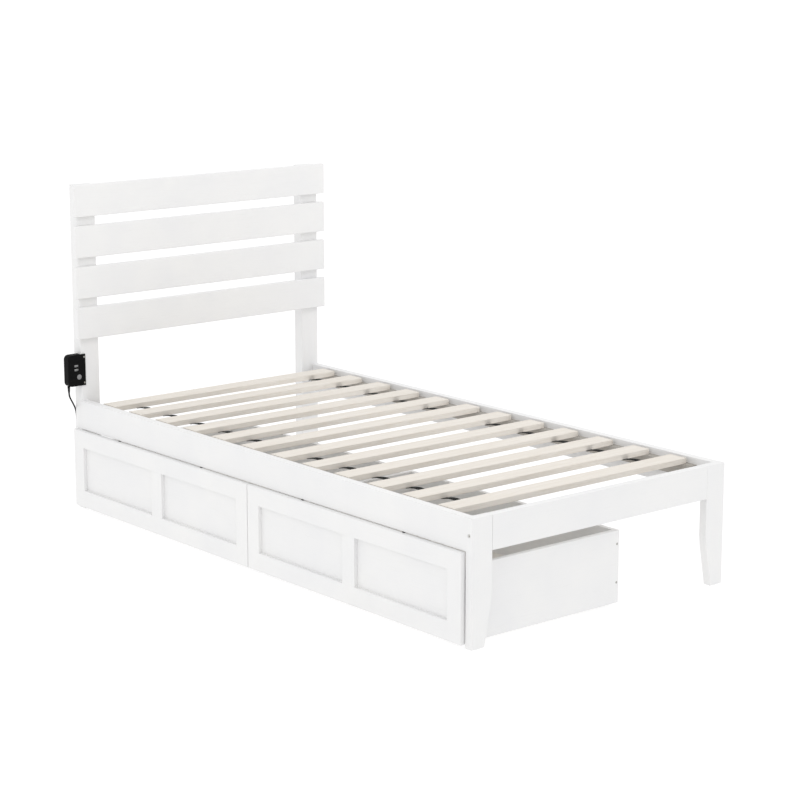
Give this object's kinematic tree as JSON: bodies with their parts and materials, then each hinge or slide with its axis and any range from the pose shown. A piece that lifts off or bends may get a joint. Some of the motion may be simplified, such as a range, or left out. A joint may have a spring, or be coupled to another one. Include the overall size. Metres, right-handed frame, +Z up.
{
  "type": "platform bed frame",
  "caption": "White painted wooden bed frame with a slatted platform, a plank headboard, roll-out drawers under one side and a small charger box on a post.",
  "frame": {"origin": "centre of the footprint of the whole object, at floor height", "axes": "+Z up, +Y from the foot towards the headboard, -X towards the side with the drawers"},
  "size_m": [1.118, 2.2385, 1.147],
  "materials": {
    "white_paint": "solid wood and board with satin white paint",
    "pine": "planed pale pine, bare",
    "drawer_board": "thin off-white board",
    "webbing": "black woven polyester webbing",
    "zinc_steel": "zinc-plated steel",
    "glide_plastic": "white nylon glide",
    "bumper_rubber": "black rubber",
    "black_plastic": "finely textured black moulding",
    "socket_plastic": "grey socket shells and round lens",
    "cord_rubber": "black flexible cord sheath",
    "wheel_plastic": "dark moulded nylon"
  },
  "bodies": {
    "frame": {"head_post_left": "white_paint", "foot_post_left": "white_paint", "side_rail_left": "white_paint", "slat_cleat_left": "pine", "head_post_right": "white_paint", "foot_post_right": "white_paint", "side_rail_right": "white_paint", "slat_cleat_right": "pine", "foot_rail": "white_paint", "headboard_board_1": "white_paint", "headboard_board_2": "white_paint", "headboard_board_3": "white_paint", "headboard_board_4": "white_paint", "slat_01": "pine", "slat_02": "pine", "slat_03": "pine", "slat_04": "pine", "slat_05": "pine", "slat_06": "pine", "slat_07": "pine", "slat_08": "pine", "slat_09": "pine", "slat_10": "pine", "slat_11": "pine", "slat_12": "pine", "slat_straps": "webbing", "frame_screws": "zinc_steel", "frame_bolts": "zinc_steel", "barrel_nuts": "zinc_steel", "corner_brackets": "zinc_steel", "post_glides": "glide_plastic", "drawer_bumpers": "bumper_rubber", "charger_housing": "black_plastic", "charger_sockets": "socket_plastic", "cord_relief": "cord_rubber", "charger_cord": "cord_rubber", "cord_coil": "cord_rubber", "charger_plug": "black_plastic"},
    "foot_drawer": {"foot_drawer_front_frame": "white_paint", "foot_drawer_front_panels": "white_paint", "foot_drawer_sides": "white_paint", "foot_drawer_back": "white_paint", "foot_drawer_bottom": "drawer_board", "foot_drawer_screws": "zinc_steel", "foot_drawer_caster_forks": "zinc_steel"},
    "foot_drawer_wheel_1": {"foot_drawer_wheel_1": "wheel_plastic"},
    "foot_drawer_wheel_2": {"foot_drawer_wheel_2": "wheel_plastic"},
    "foot_drawer_wheel_3": {"foot_drawer_wheel_3": "wheel_plastic"},
    "foot_drawer_wheel_4": {"foot_drawer_wheel_4": "wheel_plastic"},
    "head_drawer": {"head_drawer_front_frame": "white_paint", "head_drawer_front_panels": "white_paint", "head_drawer_sides": "white_paint", "head_drawer_back": "white_paint", "head_drawer_bottom": "drawer_board", "head_drawer_screws": "zinc_steel", "head_drawer_caster_forks": "zinc_steel"},
    "head_drawer_wheel_1": {"head_drawer_wheel_1": "wheel_plastic"},
    "head_drawer_wheel_2": {"head_drawer_wheel_2": "wheel_plastic"},
    "head_drawer_wheel_3": {"head_drawer_wheel_3": "wheel_plastic"},
    "head_drawer_wheel_4": {"head_drawer_wheel_4": "wheel_plastic"}
  },
  "joints": [
    {"name": "foot_drawer_slide", "type": "slide", "parent": "frame", "child": "foot_drawer", "axis": [-1, 0, 0], "range_m": [0, 0.62]},
    {"name": "foot_drawer_wheel_1_spin", "type": "hinge", "parent": "foot_drawer", "child": "foot_drawer_wheel_1", "pos_m": [-0.4496, -0.937, 0.018], "axis": [0, 1, 0], "continuous": true},
    {"name": "foot_drawer_wheel_2_spin", "type": "hinge", "parent": "foot_drawer", "child": "foot_drawer_wheel_2", "pos_m": [-0.4496, -0.107, 0.018], "axis": [0, 1, 0], "continuous": true},
    {"name": "foot_drawer_wheel_3_spin", "type": "hinge", "parent": "foot_drawer", "child": "foot_drawer_wheel_3", "pos_m": [0.07, -0.937, 0.018], "axis": [0, 1, 0], "continuous": true},
    {"name": "foot_drawer_wheel_4_spin", "type": "hinge", "parent": "foot_drawer", "child": "foot_drawer_wheel_4", "pos_m": [0.07, -0.107, 0.018], "axis": [0, 1, 0], "continuous": true},
    {"name": "head_drawer_slide", "type": "slide", "parent": "frame", "child": "head_drawer", "axis": [-1, 0, 0], "range_m": [0, 0.62]},
    {"name": "head_drawer_wheel_1_spin", "type": "hinge", "parent": "head_drawer", "child": "head_drawer_wheel_1", "pos_m": [-0.4496, 0.093, 0.018], "axis": [0, 1, 0], "continuous": true},
    {"name": "head_drawer_wheel_2_spin", "type": "hinge", "parent": "head_drawer", "child": "head_drawer_wheel_2", "pos_m": [-0.4496, 0.923, 0.018], "axis": [0, 1, 0], "continuous": true},
    {"name": "head_drawer_wheel_3_spin", "type": "hinge", "parent": "head_drawer", "child": "head_drawer_wheel_3", "pos_m": [0.07, 0.093, 0.018], "axis": [0, 1, 0], "continuous": true},
    {"name": "head_drawer_wheel_4_spin", "type": "hinge", "parent": "head_drawer", "child": "head_drawer_wheel_4", "pos_m": [0.07, 0.923, 0.018], "axis": [0, 1, 0], "continuous": true}
  ],
  "couplings": [
    {"joint": "foot_drawer_wheel_1_spin", "follows": "foot_drawer_slide", "rad_per_m": -55.556},
    {"joint": "foot_drawer_wheel_2_spin", "follows": "foot_drawer_slide", "rad_per_m": -55.556},
    {"joint": "foot_drawer_wheel_3_spin", "follows": "foot_drawer_slide", "rad_per_m": -55.556},
    {"joint": "foot_drawer_wheel_4_spin", "follows": "foot_drawer_slide", "rad_per_m": -55.556},
    {"joint": "head_drawer_wheel_1_spin", "follows": "head_drawer_slide", "rad_per_m": -55.556},
    {"joint": "head_drawer_wheel_2_spin", "follows": "head_drawer_slide", "rad_per_m": -55.556},
    {"joint": "head_drawer_wheel_3_spin", "follows": "head_drawer_slide", "rad_per_m": -55.556},
    {"joint": "head_drawer_wheel_4_spin", "follows": "head_drawer_slide", "rad_per_m": -55.556}
  ]
}
